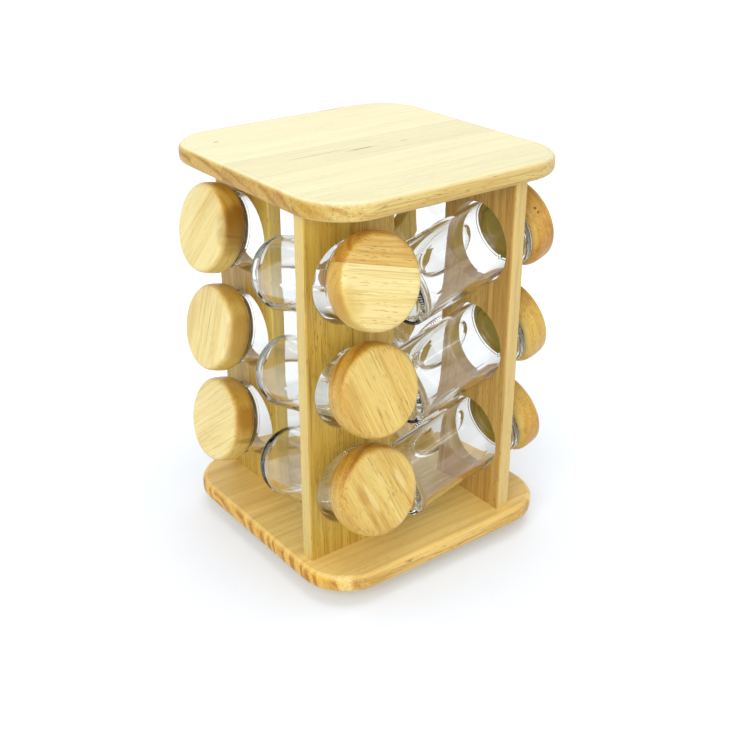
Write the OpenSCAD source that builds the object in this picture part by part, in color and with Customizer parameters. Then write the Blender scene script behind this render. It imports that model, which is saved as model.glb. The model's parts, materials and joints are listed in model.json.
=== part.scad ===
// Rotating spice rack: two square wooden plates held apart by four boards
// that stand in a pinwheel. Each board carries three tilted glass jars with
// turned wooden lids, and the whole rack turns on a ball bearing on rubber feet.
// The origin is on the table under the middle of the rack. X runs along the
// front of the rack, Y towards the back and Z up.

/* [Plates] */
// Side of the square top and base plates
plate_side = 190; // [180:2:220]
// Radius of the plates' corners, seen from above
corner_r = 35; // [20:1:45]
// Thickness of the base plate
base_t = 12; // [10:0.5:18]
// Thickness of the top plate
top_t = 12; // [11:0.5:18]
// Radius routed round the plates' edges
edge_r = 4; // [1:0.5:4.5]

/* [Boards] */
// Thickness of the four boards
board_t = 10; // [9:0.5:12]
// From a plate's side to the outer face of the board along it
face_inset = 35; // [32:1:38]
// From a plate's side to the narrow edge of the board across it
edge_inset = 7.5; // [5:0.5:10]
// Wood left at each side of a jar hole
board_web = 6.3; // [4:0.1:9]
// Radius on the boards' long edges
board_edge_r = 1.5; // [0.5:0.25:3]
// Chamfer at both rims of a jar hole
hole_ease = 0.8; // [0.3:0.1:1.5]

/* [Jar seats] */
// Tilt of the jars, closed end down
jar_tilt = 14.5; // [10:0.5:18]
// Gap between a jar and the wood that it rests on
rest_gap = 0.3; // [0.2:0.05:0.5]
// Gap between the lowest jars and the base plate
floor_gap = 5.2; // [1.5:0.1:8]
// Gap between the sides of one lid and the next above it
tier_gap = 9; // [5:0.2:20]
// Gap between the highest lids and the top plate
crown_gap = 12.3; // [8:0.1:30]
// Least gap behind a lid when its jar is pushed home
lid_stop_gap = 1; // [0.5:0.1:3]

/* [Glass jars] */
// Outer diameter of a jar
jar_d = 49; // [44:0.5:52]
// Height of a jar without its lid
jar_h = 92.5; // [86:0.5:98]
// Thickness of a jar's wall
jar_wall = 2.2; // [1.6:0.1:3]
// Thickness of a jar's floor
jar_floor = 5; // [4:0.25:8]
// Radius of the heel round a jar's floor
heel_r = 3; // [1.5:0.25:4]
// Radius at the foot of the hollow
hollow_r = 4; // [1:0.25:6]
// Rise of the dished underside
punt_h = 1.2; // [0.5:0.1:2]
// How far the mouth ring stands out of the wall
lip_out = 1.2; // [0.6:0.1:2]
// Height of the mouth ring
lip_h = 4.5; // [3:0.25:7]
// Radius on the edges of the mouth ring
lip_edge_r = 1; // [0.5:0.1:1.4]

/* [Wooden lids] */
// Largest diameter of a lid
lid_d = 59; // [56:0.5:62]
// Height of a lid above its jar
lid_h = 18; // [14:0.5:22]
// Radius at a lid's front
lid_front_r = 3.5; // [2:0.25:5]
// Radius at a lid's back
lid_back_r = 5; // [3:0.25:5.5]
// Radius of the slight bulge of a lid's side
lid_bulge_r = 60; // [45:1:90]
// From a lid's back to the widest place of its side
lid_bulge_z = 8; // [6:0.5:10]
// Diameter of the plug under a lid
plug_d = 40; // [36:0.5:40.5]
// Length of the plug
plug_h = 10; // [9:0.5:13]
// Depth of the groove that holds the seal
groove_depth = 1; // [0.5:0.1:2]
// Width of the seal and its groove
seal_w = 7; // [6:0.2:7.6]
// Thickness of the seal between its fins
seal_t = 1.6; // [1:0.1:2]
// Thickness of a fin of the seal
fin_t = 1; // [0.6:0.1:1.4]
// Number of fins on a seal
fin_count = 3; // [2:1:4]
// Gap between the fins and the glass
glass_gap = 0.3; // [0.2:0.05:0.6]

/* [Turntable] */
// Side of the two pressed steel bearing plates
bearing_side = 100; // [92:1:106]
// Corner radius of the bearing plates
bearing_corner_r = 12; // [6:1:16]
// Thickness of the pressed steel
sheet_t = 1.2; // [0.8:0.1:1.5]
// Diameter of a bearing ball
ball_d = 5; // [4.5:0.25:6]
// Number of bearing balls
ball_count = 24; // [16:2:28]
// Radius of the ring of balls
race_r = 38; // [35:0.5:40]
// Running gap in the bearing
race_gap = 0.3; // [0.2:0.05:0.4]
// Width of the upper plate's flange under the lower plate's rolled rim
flange_w = 3; // [2.5:0.1:4]
// Gap between the neck and the flange, and between the rim and the gutter
neck_gap = 0.4; // [0.3:0.05:0.6]
// From a bearing plate's side to its screw holes
hole_inset = 8; // [7:0.5:9]
// Diameter of a rubber foot
foot_d = 14; // [10:0.5:16]
// Height of a rubber foot
foot_h = 3; // [2.5:0.25:6]
// Radius round a foot's lower edge
foot_edge_r = 1; // [0.5:0.1:1.5]
// Diameter of a foot's stem
stem_d = 4.4; // [3.5:0.1:5]
// How far the button on the stem stands out past the stem
button_out = 1; // [0.6:0.1:1.4]
// Height of the button
button_h = 1.2; // [0.8:0.1:1.6]

/* [Fasteners] */
// Shank of the screws through the base plate into the boards
screw_d = 4; // [3:0.25:4.5]
// Length of those screws
screw_l = 30; // [26:1:34]
// Distance between the two fasteners at each board's end
fastener_pitch = 40; // [34:1:46]
// Diameter of the dowels at the boards' upper ends
dowel_d = 6; // [4:0.5:7]
// Length of the dowels
dowel_l = 22; // [18:1:26]
// Depth of the dowel holes in the top plate
dowel_in_top = 8; // [6:0.5:9]
// Shank of the screws that hold the bearing
bearing_screw_d = 3; // [2.5:0.25:3.5]
// Length of those screws under the head
bearing_screw_l = 9; // [7:0.5:10]
// Diameter of their pan heads
pan_d = 6.8; // [5.5:0.1:8]
// Height of their pan heads
pan_h = 2; // [1.2:0.1:2.4]
// Fit of a dowel, screw or stem in its hole, and of the seal in its groove
fit_gap = 0.05; // [0.02:0.01:0.1]

/* [Hidden] */
$fn = 72;
SIDES = ["front", "right", "back", "left"];
TIERS = ["bottom", "middle", "top"];
// Overshoot of a cutting tool past the face that it cuts
past = 1;

// Boards, seen from above: each is the front one turned about the rack's axis
board_mid = plate_side / 2 - face_inset - board_t / 2;
board_reach = plate_side / 2 - edge_inset;
jar_r = jar_d / 2;
hole_wall = board_t - 2 * hole_ease;
hole_d = (jar_d + 2 * rest_gap) / cos(jar_tilt) + hole_wall * tan(jar_tilt);
board_w = hole_d + 2 * board_web;
board_inner = board_reach - board_w;
jar_x = board_reach - board_w / 2;

// Jars, along their own axis from the middle of the board: a jar slides in
// until its heel meets the next board's edge, or its lid the board's face
lid_r = lid_d / 2;
heel_run = board_mid + board_inner - rest_gap - heel_r;
stop_by_heel = (heel_run - (jar_r - heel_r) * sin(jar_tilt)) / cos(jar_tilt) + heel_r;
lid_clear = board_t / 2 + lid_stop_gap + lid_r * sin(jar_tilt);
stop_by_lid = jar_h - lid_clear / cos(jar_tilt);
jar_in = min(stop_by_heel, stop_by_lid);
lid_seat = jar_h + rest_gap;

// Heights above the base plate, from the lowest jar's heel up
heel_drop = (jar_in - heel_r) * sin(jar_tilt) + (jar_r - heel_r) * cos(jar_tilt) + heel_r;
lid_rise = (lid_seat - jar_in + lid_h / 2) * sin(jar_tilt) + lid_r * cos(jar_tilt);
hole_low = floor_gap + heel_drop;
tier_pitch = (lid_d + tier_gap) / cos(jar_tilt);
board_h = hole_low + (len(TIERS) - 1) * tier_pitch + lid_rise + crown_gap;

// Seal, on the plug that fills the jar's mouth
mouth_r = jar_r - jar_wall;
lip_r = jar_r + lip_out;
groove_r = plug_d / 2 - groove_depth;
fin_r = mouth_r - glass_gap;
fin_step = (seal_w - 2 * fit_gap - fin_t) / (fin_count - 1);
groove_z = lid_seat - (plug_h + seal_w) / 2;

// Turntable: the balls run in two pressed gutters, and a neck of the lower
// plate is rolled over a flange of the upper one
gutter_r = ball_d / 2 + race_gap;
bearing_h = 2 * (gutter_r + sheet_t);
ball_z = bearing_h / 2;
gutter_lip = ball_z - gutter_r;
gutter_wall_r = race_r - gutter_r - sheet_t;
neck_r = gutter_wall_r - flange_w;
flange_z = ball_z + gutter_lip / 2;
rim_z = flange_z + sheet_t + race_gap;
corner_hole = bearing_side / 2 - hole_inset;
bearing_z = foot_h;
base_z = foot_h + bearing_h;
board_z = base_z + base_t;
top_z = board_z + board_h;
// A countersunk head is twice as wide as its shank and slopes at 45 degrees
screw_head_r = screw_d;
screw_head_h = screw_d / 2;
screw_in_board = screw_l - base_t;
dowel_in_board = dowel_l - dowel_in_top;

// Half of an upright bar's outline, rounded at its lower and upper corners
module bar_outline(r, h, low_r, high_r) {
    translate([0, low_r]) square([r, h - low_r - high_r]);
    if (low_r > 0) {
        square([r - low_r, h - high_r]);
        translate([r - low_r, low_r]) circle(low_r);
    }
    if (high_r > 0) {
        translate([0, low_r]) square([r - high_r, h - low_r]);
        translate([r - high_r, h - high_r]) circle(high_r);
    }
}

// A rectangle about the origin with round corners
module round_rect(w, d, r) {
    square([w - 2 * r, d], center = true);
    square([w, d - 2 * r], center = true);
    for (x = [-1, 1], y = [-1, 1]) {
        translate([x * (w / 2 - r), y * (d / 2 - r)]) circle(r);
    }
}

// Stands its children at the two fastener places of each of the four boards
module at_fasteners(z) {
    for (turn = [0 : 3], x = [-0.5, 0.5]) {
        rotate([0, 0, 90 * turn])
            translate([x * fastener_pitch - jar_x, -board_mid, z])
                children();
    }
}

// Stands its children at the four corner holes of the bearing
module at_corners(z) {
    for (x = [-1, 1], y = [-1, 1]) {
        translate([x * corner_hole, y * corner_hole, z]) children();
    }
}

// Stands the front board's children at the board of any side
module on_side(side) {
    rotate([0, 0, 90 * side]) translate([-jar_x, -board_mid, board_z]) children();
}

// Lays its children, drawn upright from a jar's foot, in one seat of a board
module in_seat(side, tier) {
    on_side(side)
        translate([0, 0, hole_low + tier * tier_pitch])
            rotate([90 - jar_tilt, 0, 0])
                translate([0, 0, -jar_in])
                    children();
}

// A square plate with round corners, its edge routed round above and below
module plate_blank(t) {
    straight = plate_side - 2 * corner_r;
    for (turn = [0, 90]) {
        rotate([90, 0, turn])
            translate([0, t / 2, -straight / 2])
                linear_extrude(straight) round_rect(plate_side, t, edge_r);
    }
    for (turn = [0 : 3]) {
        rotate([0, 0, 90 * turn])
            translate([straight / 2, straight / 2, 0])
                rotate_extrude(angle = 90) bar_outline(corner_r, t, edge_r, edge_r);
    }
}

// The screw holes come up from below, with countersinks for the heads
module base_plate() {
    color("burlywood") difference() {
        translate([0, 0, base_z]) plate_blank(base_t);
        at_fasteners(base_z) {
            translate([0, 0, -past]) cylinder(h = base_t + 2 * past, r = screw_d / 2 + fit_gap);
            cylinder(h = screw_head_h, r1 = screw_head_r + fit_gap, r2 = screw_d / 2 + fit_gap);
        }
        at_corners(base_z - past)
            cylinder(h = bearing_screw_l - sheet_t + past, r = bearing_screw_d / 2 + fit_gap);
    }
}

// The dowel holes are blind, so that the top shows no plugs
module top_plate() {
    color("wheat") difference() {
        translate([0, 0, top_z]) plate_blank(top_t);
        at_fasteners(top_z - past)
            cylinder(h = dowel_in_top + fit_gap + past, r = dowel_d / 2 + fit_gap);
    }
}

// A hole through a board for a jar, with a chamfer at both rims
module jar_hole() {
    rotate([90, 0, 0]) {
        cylinder(h = board_t + 2 * past, d = hole_d, center = true);
        for (flip = [0, 180]) {
            rotate([flip, 0, 0])
                translate([0, 0, board_t / 2 - hole_ease])
                    cylinder(h = hole_ease, d1 = hole_d, d2 = hole_d + 2 * hole_ease);
        }
    }
}

module board(side) {
    color("khaki") on_side(side) difference() {
        linear_extrude(board_h) round_rect(board_w, board_t, board_edge_r);
        for (tier = [0 : len(TIERS) - 1]) {
            translate([0, 0, hole_low + tier * tier_pitch]) jar_hole();
        }
        for (x = [-0.5, 0.5]) {
            translate([x * fastener_pitch, 0, -past])
                cylinder(h = screw_in_board + fit_gap + past, r = screw_d / 2 + fit_gap);
            translate([x * fastener_pitch, 0, board_h - dowel_in_board - fit_gap])
                cylinder(h = dowel_in_board + fit_gap + past, r = dowel_d / 2 + fit_gap);
        }
    }
}

// A glass jar: straight wall, thick floor with a dished underside, mouth ring
module jar(side, tier) {
    punt_r = jar_r - 2 * heel_r;
    punt_ball_r = (punt_r * punt_r + punt_h * punt_h) / (2 * punt_h);
    color("lightcyan", 0.4) in_seat(side, tier) rotate_extrude() difference() {
        union() {
            bar_outline(jar_r, jar_h - lip_edge_r, heel_r, 0);
            translate([0, jar_h - lip_h]) bar_outline(lip_r, lip_h, lip_edge_r, lip_edge_r);
        }
        translate([0, jar_floor]) bar_outline(mouth_r, jar_h, hollow_r, 0);
        translate([0, punt_h - punt_ball_r]) circle(punt_ball_r, $fn = 720);
    }
}

// A turned lid: a disc with a slightly bulging side, over a grooved plug
module lid(side, tier) {
    color("navajowhite") in_seat(side, tier) rotate_extrude() {
        translate([0, lid_seat]) intersection() {
            bar_outline(lid_r, lid_h, lid_back_r, lid_front_r);
            translate([lid_r - lid_bulge_r, lid_bulge_z]) circle(lid_bulge_r, $fn = 360);
        }
        difference() {
            translate([0, lid_seat - plug_h]) square([plug_d / 2, plug_h + past]);
            translate([groove_r, groove_z]) square([plug_d, seal_w]);
        }
    }
}

// A soft ring in the plug's groove, with fins that close the jar's mouth
module seal(side, tier) {
    inner_r = groove_r + fit_gap;
    fin_reach = fin_r - inner_r - fin_t / 2;
    color("darkkhaki") in_seat(side, tier)
        rotate_extrude() translate([inner_r, groove_z + fit_gap]) {
            square([seal_t, seal_w - 2 * fit_gap]);
            for (fin = [0 : fin_count - 1]) translate([0, fin * fin_step]) {
                square([fin_reach, fin_t]);
                translate([fin_reach, fin_t / 2]) circle(fin_t / 2);
            }
        }
}

// The square sheet of a bearing plate with its four corner holes
module bearing_sheet(centre_r, corner_hole_r) {
    linear_extrude(sheet_t) difference() {
        round_rect(bearing_side, bearing_side, bearing_corner_r);
        circle(centre_r);
        for (x = [-1, 1], y = [-1, 1]) {
            translate([x * corner_hole, y * corner_hole]) circle(corner_hole_r);
        }
    }
}

// The gutter of pressed steel that the balls run in, cut across, open upwards
module gutter_outline() {
    translate([race_r, ball_z]) difference() {
        circle(gutter_r + sheet_t);
        circle(gutter_r);
        translate([-ball_d, -gutter_lip / 2]) square([2 * ball_d, 2 * ball_d]);
    }
}

// The lower plate's neck comes up through the upper plate and is rolled over
module lower_bearing_plate() {
    neck_in = neck_r - sheet_t;
    color("silver") translate([0, 0, bearing_z]) {
        bearing_sheet(race_r, stem_d / 2 + fit_gap);
        rotate_extrude() {
            gutter_outline();
            translate([neck_in, 0]) square([race_r - neck_in, sheet_t]);
            translate([neck_in, 0]) square([sheet_t, rim_z + sheet_t]);
            translate([neck_in, rim_z]) square([gutter_wall_r - neck_gap - neck_in, sheet_t]);
        }
    }
}

// The upper plate's flange runs under that rim and keeps the two together
module upper_bearing_plate() {
    flange_in = neck_r + neck_gap;
    color("gainsboro") translate([0, 0, bearing_z]) {
        translate([0, 0, bearing_h - sheet_t])
            bearing_sheet(race_r, bearing_screw_d / 2 + fit_gap);
        rotate_extrude() {
            translate([0, bearing_h]) mirror([0, 1]) gutter_outline();
            translate([flange_in, flange_z]) square([gutter_wall_r + sheet_t / 2 - flange_in, sheet_t]);
        }
    }
}

module bearing_balls() {
    color("slategray") for (ball = [0 : ball_count - 1]) {
        rotate([0, 0, 360 * ball / ball_count])
            translate([race_r, 0, bearing_z + ball_z])
                sphere(d = ball_d);
    }
}

// Pan-head screws, up through the upper bearing plate into the base plate
module bearing_screws() {
    color("dimgray") at_corners(base_z - sheet_t) {
        cylinder(h = bearing_screw_l - fit_gap, d = bearing_screw_d);
        translate([0, 0, -pan_h]) cylinder(h = pan_h, d = pan_d);
    }
}

// Countersunk screws, up through the base plate into the ends of the boards
module board_screws() {
    color("dimgray") at_fasteners(base_z) {
        cylinder(h = screw_l, d = screw_d);
        cylinder(h = screw_head_h, r1 = screw_head_r, r2 = screw_d / 2);
    }
}

module top_dowels() {
    color("tan") at_fasteners(top_z - dowel_in_board) cylinder(h = dowel_l, d = dowel_d);
}

// Push-in feet: a disc under the lower bearing plate, a stem and a button
module rubber_feet() {
    color("dimgray") at_corners(0) rotate_extrude() {
        bar_outline(foot_d / 2, foot_h, foot_edge_r, 0);
        square([stem_d / 2, foot_h + sheet_t + fit_gap + button_h]);
        translate([0, foot_h + sheet_t + fit_gap]) square([stem_d / 2 + button_out, button_h]);
    }
}

base_plate();
top_plate();
for (side = [0 : 3]) {
    board(side);
    for (tier = [0 : len(TIERS) - 1]) {
        place = str("_", SIDES[side], "_", TIERS[tier]);
        jar(side, tier);
        lid(side, tier);
        seal(side, tier);
    }
}
upper_bearing_plate();
lower_bearing_plate();
bearing_balls();
bearing_screws();
board_screws();
top_dowels();
rubber_feet();
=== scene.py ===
# %% [markdown]
# This is a rotating spice rack: two square rubberwood plates held apart by four boards
# that stand in a pinwheel. Each board carries three tilted glass jars with turned lids,
# and the whole rack turns on a steel ball bearing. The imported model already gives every
# piece its size and place, so this lesson only has to make wood look like wood, glass
# like glass and steel like steel. Loading the model comes first, because everything
# else is measured from it.

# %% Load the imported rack
import json
import math

import bmesh
import bpy
from mathutils import Color, Matrix, Vector


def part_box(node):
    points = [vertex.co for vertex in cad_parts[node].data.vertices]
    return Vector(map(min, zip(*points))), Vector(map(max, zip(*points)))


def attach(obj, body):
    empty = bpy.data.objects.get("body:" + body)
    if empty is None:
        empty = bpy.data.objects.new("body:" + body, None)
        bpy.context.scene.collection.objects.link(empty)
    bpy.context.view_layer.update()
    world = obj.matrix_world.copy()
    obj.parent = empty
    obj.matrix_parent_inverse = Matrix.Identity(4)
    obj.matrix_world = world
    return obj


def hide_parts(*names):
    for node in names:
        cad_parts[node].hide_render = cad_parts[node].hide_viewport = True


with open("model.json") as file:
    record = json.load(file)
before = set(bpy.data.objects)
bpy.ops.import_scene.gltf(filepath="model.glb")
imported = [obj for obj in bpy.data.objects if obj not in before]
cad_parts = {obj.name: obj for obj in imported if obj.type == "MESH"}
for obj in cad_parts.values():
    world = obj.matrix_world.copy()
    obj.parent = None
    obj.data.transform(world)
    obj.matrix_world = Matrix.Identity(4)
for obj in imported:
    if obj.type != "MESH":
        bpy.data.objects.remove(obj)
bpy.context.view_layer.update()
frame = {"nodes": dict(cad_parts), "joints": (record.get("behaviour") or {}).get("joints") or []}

MM = 0.001
SIDES = ("front", "right", "back", "left")
TIERS = ("bottom", "middle", "top")
PLACES = [f"{side}_{tier}" for side in SIDES for tier in TIERS]

# %% [markdown]
# A product picture looks right only from the right spot. The camera stands to the left
# of the front, a little above the top plate, and looks down at the rack. Its place and
# its lens were worked out from the plates' outlines and the lids' ellipses. The lens
# isn't shifted, so every upright line of the rack leans in by the true amount.

# %% Set up the camera
CAMERA_PLACE = (-0.41924, -0.56502, 0.45880)
CAMERA_YAW = 36.779
CAMERA_PITCH = 26.162
LENS = 55.375
SENSOR = 36.0
NEAREST = 0.01
FURTHEST = 50.0

camera_data = bpy.data.cameras.new("product_camera")
camera_data.lens = LENS
camera_data.sensor_width = SENSOR
camera_data.clip_start = NEAREST
camera_data.clip_end = FURTHEST
camera = bpy.data.objects.new("product_camera", camera_data)
camera.location = CAMERA_PLACE
camera.rotation_euler = (math.radians(90 - CAMERA_PITCH), 0, math.radians(-CAMERA_YAW))
bpy.context.scene.collection.objects.link(camera)
bpy.context.scene.camera = camera
print("the camera is", round(camera.location.length, 3), "m from the middle of the rack's foot")

# %% [markdown]
# A finish in Blender is a tree of nodes. Clicking one together is slow and hard to read
# back, so this small class mixes a finish from plain calls. Each call adds a node and
# hands back its output, which the next call takes in. Colours are given as they look on
# a screen, from 0 to 255, and turned into the linear light that Blender mixes in.

# %% Make a mixing bench for finishes
SCREEN_WHITE = 255


def tone(red, green, blue):
    """A screen colour from 0 to 255 as a linear one."""
    parts = (red / SCREEN_WHITE, green / SCREEN_WHITE, blue / SCREEN_WHITE)
    return (*Color(parts).from_srgb_to_scene_linear(), 1)


class Finish:
    """The finish of a material or a world. Each call adds a node and gives its output back."""

    def __init__(self, owner):
        self.owner = owner
        owner.use_nodes = True
        self.tree = owner.node_tree
        self.tree.nodes.clear()

    def add(self, kind, inputs, output=0, **settings):
        """Adds a node. An input is a plain value or the output of another node."""
        node = self.tree.nodes.new("ShaderNode" + kind)
        for setting, value in settings.items():
            setattr(node, setting, value)
        for socket, value in inputs.items():
            if isinstance(value, bpy.types.NodeSocket):
                self.tree.links.new(value, node.inputs[socket])
            else:
                node.inputs[socket].default_value = value
        return node.outputs[output]

    def here(self):
        """The place on the piece, in metres."""
        return self.add("TexCoord", {}, "Object")

    def ray(self, kind):
        """What is known of the ray of light that has met the surface."""
        return self.add("LightPath", {}, kind)

    def math(self, operation, *values):
        return self.add("Math", dict(enumerate(values)), operation=operation)

    def around(self, value, gain):
        """How far a noise is from its middle, times a gain."""
        return self.math("MULTIPLY", self.math("SUBTRACT", value, 0.5), gain)

    def vector(self, operation, *values, output=0):
        return self.add("VectorMath", dict(enumerate(values)), output, operation=operation)

    def length(self, way):
        return self.vector("LENGTH", way, output="Value")

    def noise(self, place, scale, detail=2.0, output="Fac"):
        return self.add("TexNoise", {"Vector": place, "Scale": scale, "Detail": detail}, output)

    def spread(self, value, low, high, to_low=0.0, to_high=1.0):
        """Stretches low to high over a new range, with soft ends."""
        sockets = dict(enumerate((value, low, high, to_low, to_high)))
        return self.add("MapRange", sockets, interpolation_type="SMOOTHSTEP")

    def blend(self, share, first, second, how="MIX"):
        sockets = {0: share, 6: first, 7: second}
        return self.add("Mix", sockets, 2, data_type="RGBA", blend_type=how)

    def stained(self, share, colour, stain):
        """A colour with a see-through stain over a share of it."""
        return self.blend(share, colour, self.blend(1.0, colour, stain, "MULTIPLY"))

    def ramp(self, value, stops):
        """Turns a value into a colour, between stops that are each a value and a colour."""
        output = self.add("ValToRGB", {0: value})
        bar = output.node.color_ramp
        while len(bar.elements) < len(stops):
            bar.elements.new(0.5)
        for element, (place, colour) in zip(bar.elements, stops):
            element.position = place
            element.color = colour
        return output

    def surface(self, **sockets):
        named = {socket.replace("_", " "): value for socket, value in sockets.items()}
        return self.add("BsdfPrincipled", named)

    def show(self, shader, kind="Material"):
        node = self.tree.nodes.new("ShaderNodeOutput" + kind)
        self.tree.links.new(shader, node.inputs["Surface"])
        return self.owner


def new_finish(name):
    return Finish(bpy.data.materials.new(name))


def coat(node, material):
    """Puts a finish on a CAD node."""
    piece = frame["nodes"][node]
    if not piece.material_slots:
        piece.data.materials.append(material)
    for slot in piece.material_slots:
        slot.material = material


print("the bench is ready; a mid grey mixes as", [round(part, 3) for part in tone(128, 128, 128)])

# %% [markdown]
# The rack stands on a white sweep. Lamps bright enough to turn a white floor pure white
# would wash out the wood, so the floor is helped instead: to the camera, to reflections
# and through glass it has a faint glow of its own on top of its paint, a little stronger
# further away. The paint still takes the rack's shadow.

# %% Lay the floor
FLOOR_HALF = 6.0
FLOOR_DROP = 0.0002
NEAR_FLOOR = 0.12
FAR_FLOOR = 0.5
NEAR_GLOW = 0.21
FAR_GLOW = 0.5
SPECK_SIZE = 40.0
PAINT_TONES = (tone(228, 234, 242), tone(232, 238, 246))
WHITE = (1, 1, 1, 1)


def white_rays(finish):
    """1 for rays of the camera, of reflections and through glass, 0 for all others."""
    seen = finish.ray("Is Camera Ray")
    mirrored = finish.ray("Is Glossy Ray")
    through = finish.ray("Is Transmission Ray")
    return finish.math("MAXIMUM", finish.math("MAXIMUM", seen, mirrored), through)


def floor_paint():
    finish = new_finish("floor_paint")
    here = finish.here()
    colour = finish.blend(finish.noise(here, SPECK_SIZE), *PAINT_TONES)
    paint = finish.add("BsdfDiffuse", {"Color": colour})
    glow = finish.spread(finish.length(here), NEAR_FLOOR, FAR_FLOOR, NEAR_GLOW, FAR_GLOW)
    strength = finish.math("MULTIPLY", white_rays(finish), glow)
    light = finish.add("Emission", {"Color": WHITE, "Strength": strength})
    return finish.show(finish.add("AddShader", {0: paint, 1: light}))


floor_mesh = bmesh.new()
bmesh.ops.create_grid(floor_mesh, x_segments=1, y_segments=1, size=FLOOR_HALF)
bmesh.ops.translate(floor_mesh, vec=(0, 0, -FLOOR_DROP), verts=floor_mesh.verts[:])
floor_data = bpy.data.meshes.new("floor")
floor_mesh.to_mesh(floor_data)
floor_mesh.free()
floor_data.materials.append(floor_paint())
floor = bpy.data.objects.new("floor", floor_data)
bpy.context.scene.collection.objects.link(floor)
print("the floor is", 2 * FLOOR_HALF, "m wide")

# %% [markdown]
# The lamps are large soft boxes, because a small one would draw hard shadows and burn
# spots into the glass. The key lamp stands on the left, the top lamp lights the top
# plate, and a weak lamp in front keeps the lids' faces from going dull. The world is
# white to the same rays as the floor's glow, and a softer light to everything else. A
# ray may bounce often, because from the front it meets the walls of many jars.

# %% Hang the lamps
ROOM_LIGHT = 0.62
LIGHT_BOUNCES = 32
RACK_MIDDLE = (0, 0, 0.14)
LAMPS = (
    ("key_lamp", (-1.1, -0.85, 0.9), RACK_MIDDLE, 0.9, 10.5),
    ("top_lamp", (0.1, 0.0, 1.7), RACK_MIDDLE, 1.2, 9),
    ("front_lamp", (0.4, -1.2, 0.3), (0, 0, 0.05), 0.6, 1),
)


def hang_lamp(name, place, target, size, power):
    """A square soft box that shines from place to target."""
    data = bpy.data.lights.new(name, "AREA")
    data.size = size
    data.energy = power
    box = bpy.data.objects.new(name, data)
    box.location = place
    way = Vector(target) - Vector(place)
    box.rotation_euler = way.to_track_quat("-Z", "Y").to_euler()
    box.visible_camera = False
    bpy.context.scene.collection.objects.link(box)


for settings in LAMPS:
    hang_lamp(*settings)

room = Finish(bpy.data.worlds.new("studio"))
room_strength = room.spread(white_rays(room), 0.0, 1.0, ROOM_LIGHT, 1.0)
sky = room.add("Background", {"Color": WHITE, "Strength": room_strength})
scene = bpy.context.scene
scene.world = room.show(sky, "World")
scene.view_settings.view_transform = "Standard"
scene.cycles.max_bounces = LIGHT_BOUNCES
scene.cycles.transmission_bounces = LIGHT_BOUNCES
scene.cycles.transparent_max_bounces = LIGHT_BOUNCES
print("the rack stands under", len(LAMPS), "lamps")

# %% [markdown]
# Every jar, lid and stopper is round, and lies on a tilted axis of its own. Before a
# round piece or its grain can be drawn, that axis is needed. The joints of the packed
# rack say which way a jar slides, and the middle of the piece's own mesh, seen along that
# way, gives the axis itself. The matrix found here stands a drawing at the piece's foot:
# X to the right, Y up the face and Z out of the rack.

# %% Find the axis of each round piece
WAY_OUT = {joint["child"]: Vector(joint["axis"]) for joint in frame["joints"]}
UP = Vector((0, 0, 1))


def stand_on(node, out):
    """The matrix at the foot of a round node that reaches along out, and its height."""
    out = out.normalized()
    right = UP.cross(out).normalized()
    top = out.cross(right)
    points = [vertex.co for vertex in frame["nodes"][node].data.vertices]
    reach = {}
    for way, direction in (("right", right), ("top", top), ("out", out)):
        along = [point.dot(direction) for point in points]
        reach[way] = (min(along), max(along))
    middle = right * sum(reach["right"]) / 2 + top * sum(reach["top"]) / 2
    foot = middle + out * reach["out"][0]
    turn = Matrix((right, top, out)).transposed().to_4x4()
    return Matrix.Translation(foot) @ turn, reach["out"][1] - reach["out"][0]


jar_seats = {place: stand_on(f"jar_{place}", WAY_OUT[f"jar_{place}"]) for place in PLACES}
lid_seats = {place: stand_on(f"lid_{place}", WAY_OUT[f"jar_{place}"]) for place in PLACES}
print("a jar is", round(jar_seats["front_top"][1] / MM, 1), "mm high")

# %% [markdown]
# Rubberwood is pale yellow and has no bold figure. Painted on each face by itself, its
# grain would never meet at an edge. So it is worked out in the round, inside a log, and
# each piece is cut from that log: the same fibres then run along one face and end in the
# next. The log's Z axis runs along the grain, and it is measured in millimetres.

# %% Cut a piece from the log
ALONG_X = Matrix.Rotation(math.radians(90), 3, "Y")
ALONG_Z = Matrix.Identity(3)


def log_space(finish, heart, turn):
    """Places inside a log whose heart passes through a point, turned by a matrix."""
    sockets = {"Vector": finish.here(), "Location": heart, "Rotation": turn.to_euler("XYZ")}
    sockets["Scale"] = (MM, MM, MM)
    return finish.add("Mapping", sockets, vector_type="TEXTURE")


def drawn_out(finish, log, pattern, output="Fac"):
    """A noise inside the log. Its pattern is how many waves there are in a millimetre, how
    far they are drawn out along the grain, where 1 is not at all, and their detail."""
    waves, stretch, detail = pattern
    return finish.noise(finish.vector("MULTIPLY", log, (1, 1, stretch)), waves, detail, output)


def facing(finish, way, low, high):
    """1 on the faces that look along a way, or back along it, and 0 on the others."""
    normal = finish.add("TexCoord", {}, "Normal")
    along = finish.vector("DOT_PRODUCT", normal, way, output="Value")
    return finish.spread(finish.math("ABSOLUTE", along), low, high)


print("the grain of a plate runs along", tuple(round(part) for part in ALONG_X.col[2]))

# %% [markdown]
# Close up, rubberwood shows fine dark pores, cut open, which look like pencil dashes
# along the grain and like dots on the end grain. A picture of dashes would be wrong on
# every end. Here a pore is a long thin bead round a point of a stretched Voronoi
# pattern, so its width and its length are set apart from how many there are, and any cut
# through the log shows the right mark. The pores crowd together in some places.

# %% Open the pores
PORES_ACROSS = 1.4
PORES_ALONG = 0.14
PORE_HALF_WIDTH = 0.22
PORE_HALF_LENGTH = 2.6
PORE_CORE = 0.5
PORE_LUCK = (0.25, 0.95)
CROWD_NOISE = (0.11, 0.2, 2.0)
CROWD_RANGE = (0.35, 0.62)
FEWEST_PORES = 0.35
PORE_TONE = tone(104, 66, 22)


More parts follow.
